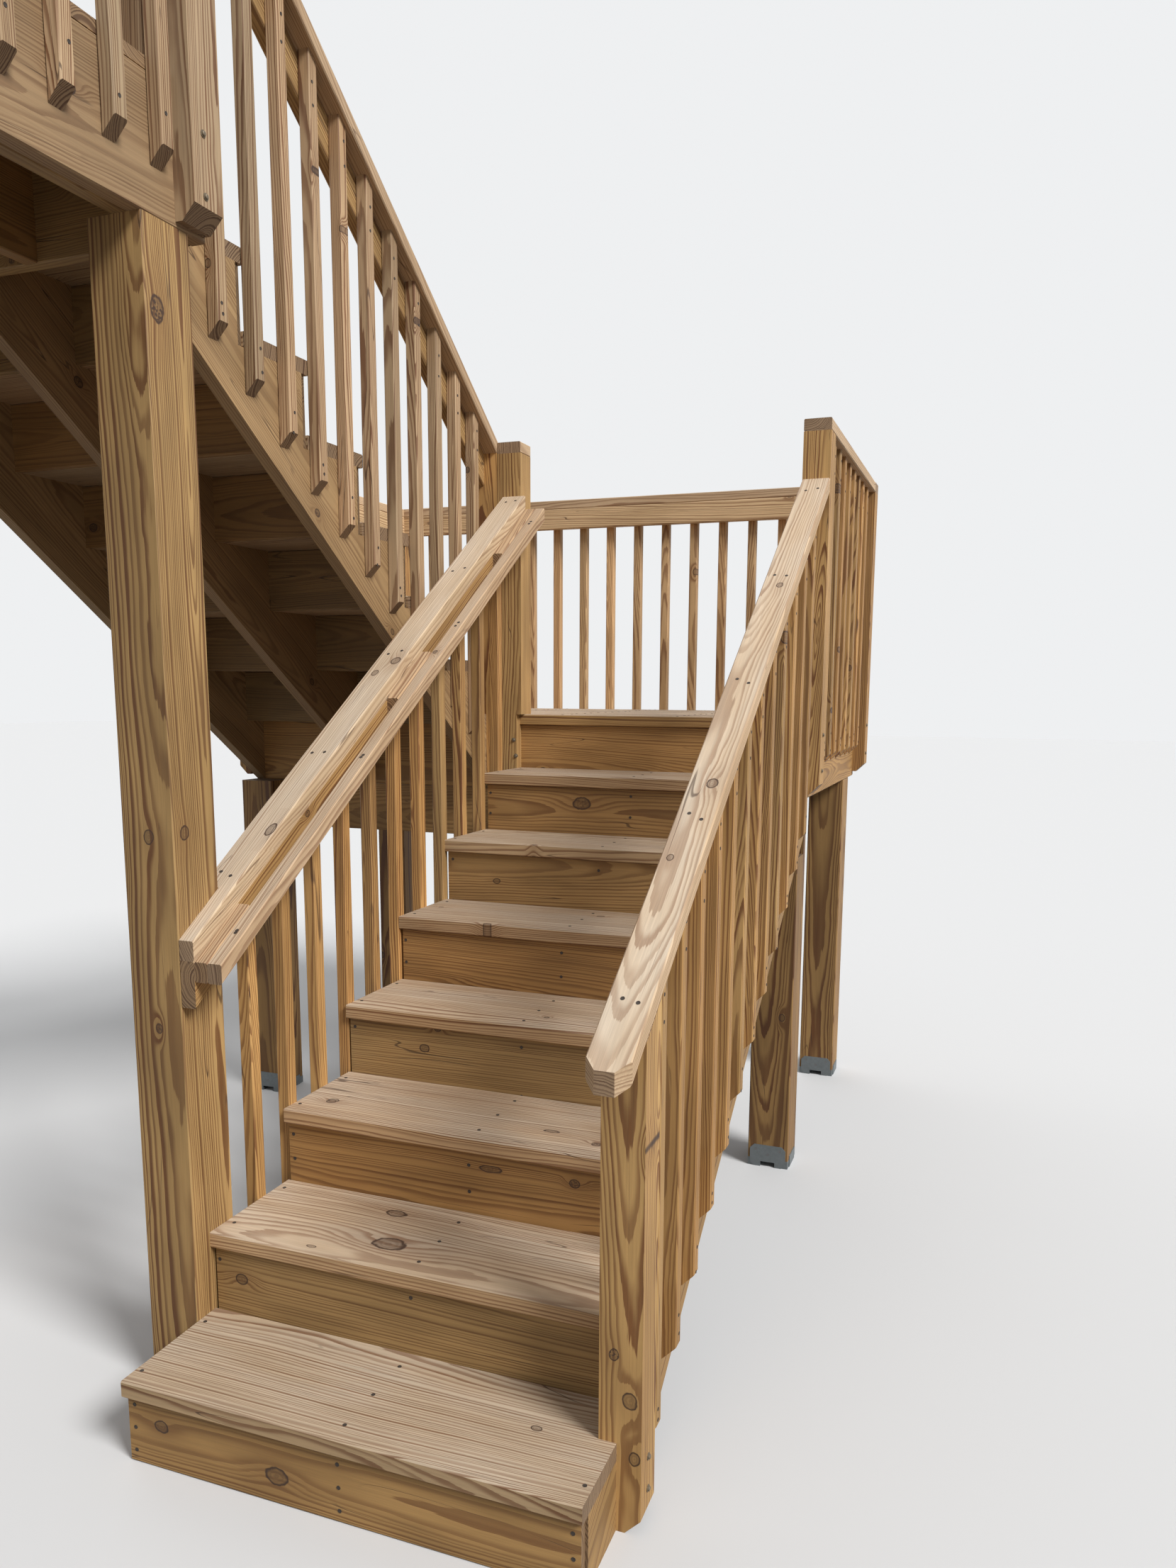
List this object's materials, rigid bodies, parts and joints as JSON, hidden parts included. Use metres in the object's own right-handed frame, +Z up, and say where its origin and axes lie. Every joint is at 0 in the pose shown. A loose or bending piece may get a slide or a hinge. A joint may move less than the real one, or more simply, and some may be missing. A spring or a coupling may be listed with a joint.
{
  "type": "wooden deck stairs",
  "caption": "Timber stairs in two flights with a landing between them, open picket guards and square support posts on metal bases.",
  "frame": {"origin": "on the ground, under the middle of the stairs' outline", "axes": "+Z up; +Y is the way a person faces when climbing the lower flight; +X is that person's right"},
  "size_m": [2.4438, 4.4134, 3.834],
  "materials": {
    "tread_wood": "sawn, bare and lightly weathered",
    "riser_wood": "sawn, bare and lightly weathered",
    "decking_wood": "sawn, bare and lightly weathered",
    "picket_wood": "sawn, bare and lightly weathered",
    "post_wood": "sawn, bare and lightly weathered",
    "rail_wood": "sawn, bare and lightly weathered",
    "frame_wood": "sawn, bare and lightly weathered",
    "base_metal": "satin"
  },
  "bodies": {
    "root": {"deck_cross_rims": "frame_wood", "deck_decking": "decking_wood", "deck_guard_posts": "post_wood", "deck_joists": "frame_wood", "deck_left_pickets": "picket_wood", "deck_rail_caps": "rail_wood", "deck_right_pickets": "picket_wood", "deck_side_rims": "frame_wood", "deck_subrails": "rail_wood", "deck_support_posts": "post_wood", "handrail": "rail_wood", "handrail_spacers": "rail_wood", "landing_back_cap": "rail_wood", "landing_back_pickets": "picket_wood", "landing_corner_posts": "post_wood", "landing_cross_rims": "frame_wood", "landing_decking": "decking_wood", "landing_head_posts": "post_wood", "landing_joists": "frame_wood", "landing_left_pickets": "picket_wood", "landing_right_pickets": "picket_wood", "landing_side_caps": "rail_wood", "landing_side_rims": "frame_wood", "landing_subrails": "rail_wood", "landing_support_posts": "post_wood", "lower_left_pickets": "picket_wood", "lower_rail_caps": "rail_wood", "lower_right_pickets": "picket_wood", "lower_risers": "riser_wood", "lower_stringers": "frame_wood", "lower_subrails": "rail_wood", "lower_tread_1": "tread_wood", "lower_tread_2": "tread_wood", "lower_tread_3": "tread_wood", "lower_tread_4": "tread_wood", "lower_tread_5": "tread_wood", "lower_tread_6": "tread_wood", "lower_tread_7": "tread_wood", "newel_post": "post_wood", "post_bases": "base_metal", "stringer_hanger_board": "frame_wood", "upper_left_pickets": "picket_wood", "upper_rail_caps": "rail_wood", "upper_right_pickets": "picket_wood", "upper_risers": "riser_wood", "upper_stringers": "frame_wood", "upper_subrails": "rail_wood", "upper_tread_1": "tread_wood", "upper_tread_2": "tread_wood", "upper_tread_3": "tread_wood", "upper_tread_4": "tread_wood", "upper_tread_5": "tread_wood", "upper_tread_6": "tread_wood"}
  },
  "joints": []
}
